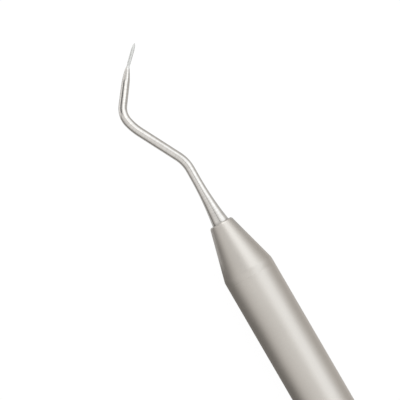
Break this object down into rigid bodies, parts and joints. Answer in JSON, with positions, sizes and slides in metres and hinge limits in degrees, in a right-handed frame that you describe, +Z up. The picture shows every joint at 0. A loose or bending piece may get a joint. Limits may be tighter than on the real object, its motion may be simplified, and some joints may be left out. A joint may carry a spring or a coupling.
{
  "type": "dental explorer",
  "caption": "Double-ended dental hand instrument: round hollow satin handle, conical noses, slim polished shanks with paired bends ground to needle points.",
  "frame": {"origin": "on the supporting surface, below the middle of the handle", "axes": "+X along the handle's axis towards the front working end; +Y towards the outside of the front end's bends; +Z up, square to the plane of the bends"},
  "size_m": [0.1724, 0.0122, 0.0095],
  "materials": {
    "satin_handle": "fine satin blast",
    "satin_nose": "fine satin blast",
    "polished_shank": "polished"
  },
  "bodies": {
    "root": {"handle_tube": "satin_handle", "front_nose_cone": "satin_nose", "rear_nose_cone": "satin_nose", "front_working_end": "polished_shank", "rear_working_end": "polished_shank"}
  },
  "joints": []
}
